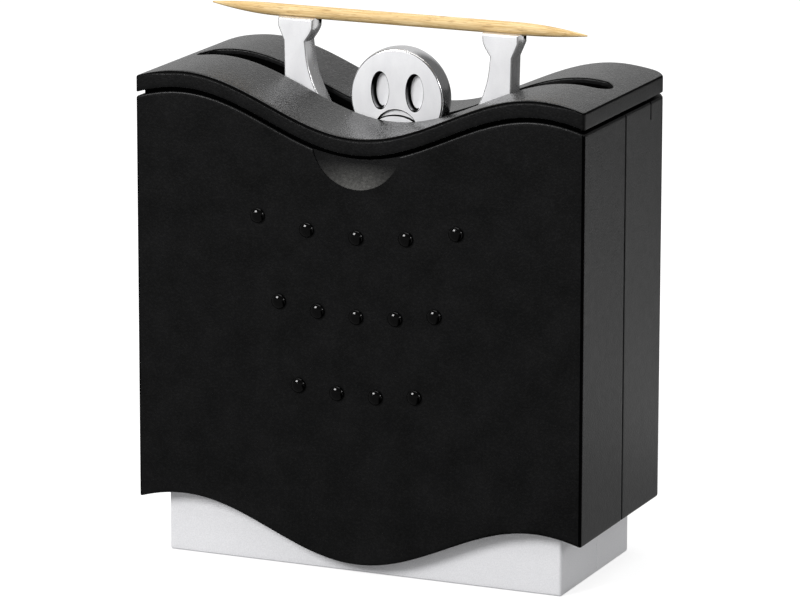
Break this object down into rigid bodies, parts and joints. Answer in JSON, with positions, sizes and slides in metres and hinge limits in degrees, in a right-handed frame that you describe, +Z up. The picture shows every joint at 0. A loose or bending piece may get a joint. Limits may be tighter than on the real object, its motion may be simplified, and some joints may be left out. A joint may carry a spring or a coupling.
{
  "type": "toothpick dispenser",
  "caption": "Table dispenser whose wavy-edged casing is lifted and set down over a weighted base, so that a flat figure raises one toothpick through a slot in the lid.",
  "frame": {"origin": "middle of the footprint, on the table under the anti-slip pad", "axes": "+Z up; the front with the thumb scoop, the studs and the figure's face looks along -Y; X runs along the width, with the figure's left hand, as the viewer sees it, at -X"},
  "size_m": [0.077, 0.0365, 0.0887],
  "materials": {
    "black_plastic": "satin black moulded plastic with a fine grain",
    "gloss_black": "glossy black studs",
    "inner_plastic": "plain black moulded plastic, out of sight",
    "silver_lacquer": "silver lacquer, satin",
    "satin_zinc": "satin die-cast zinc",
    "plated_steel": "zinc-plated steel",
    "birch": "bare birch",
    "pad_foam": "soft black foam rubber"
  },
  "bodies": {
    "base": {"base_front_shell": "silver_lacquer", "base_rear_shell": "silver_lacquer", "base_bottom_plate": "inner_plastic", "anti_slip_pad": "pad_foam", "ballast_weight": "plated_steel", "figure": "satin_zinc", "base_screw_1": "plated_steel", "base_screw_2": "plated_steel", "base_screw_3": "plated_steel", "base_screw_4": "plated_steel", "figure_screw_left": "plated_steel", "figure_screw_right": "plated_steel"},
    "casing": {"casing_front_shell": "black_plastic", "casing_rear_shell": "black_plastic", "hopper": "inner_plastic", "stud_01": "gloss_black", "stud_02": "gloss_black", "stud_03": "gloss_black", "stud_04": "gloss_black", "stud_05": "gloss_black", "stud_06": "gloss_black", "stud_07": "gloss_black", "stud_08": "gloss_black", "stud_09": "gloss_black", "stud_10": "gloss_black", "stud_11": "gloss_black", "stud_12": "gloss_black", "stud_13": "gloss_black", "stud_14": "gloss_black", "casing_screw_left": "plated_steel", "casing_screw_right": "plated_steel", "spare_toothpick_front_1": "birch", "spare_toothpick_front_2": "birch", "spare_toothpick_front_3": "birch", "spare_toothpick_front_4": "birch", "spare_toothpick_front_5": "birch", "spare_toothpick_rear_1": "birch", "spare_toothpick_rear_2": "birch", "spare_toothpick_rear_3": "birch", "spare_toothpick_rear_4": "birch", "spare_toothpick_rear_5": "birch"},
    "lid": {"lid": "black_plastic"},
    "toothpick": {"raised_toothpick": "birch"}
  },
  "joints": [
    {"name": "casing_lift", "type": "slide", "parent": "base", "child": "casing", "axis": [0, 0, 1], "range_m": [0, 0.0324]},
    {"name": "lid_lift_off", "type": "slide", "parent": "casing", "child": "lid", "axis": [0, 0, 1], "range_m": [0, 0.03]},
    {"name": "toothpick_take", "type": "slide", "parent": "base", "child": "toothpick", "axis": [0, 0, 1], "range_m": [0, 0.03]}
  ]
}
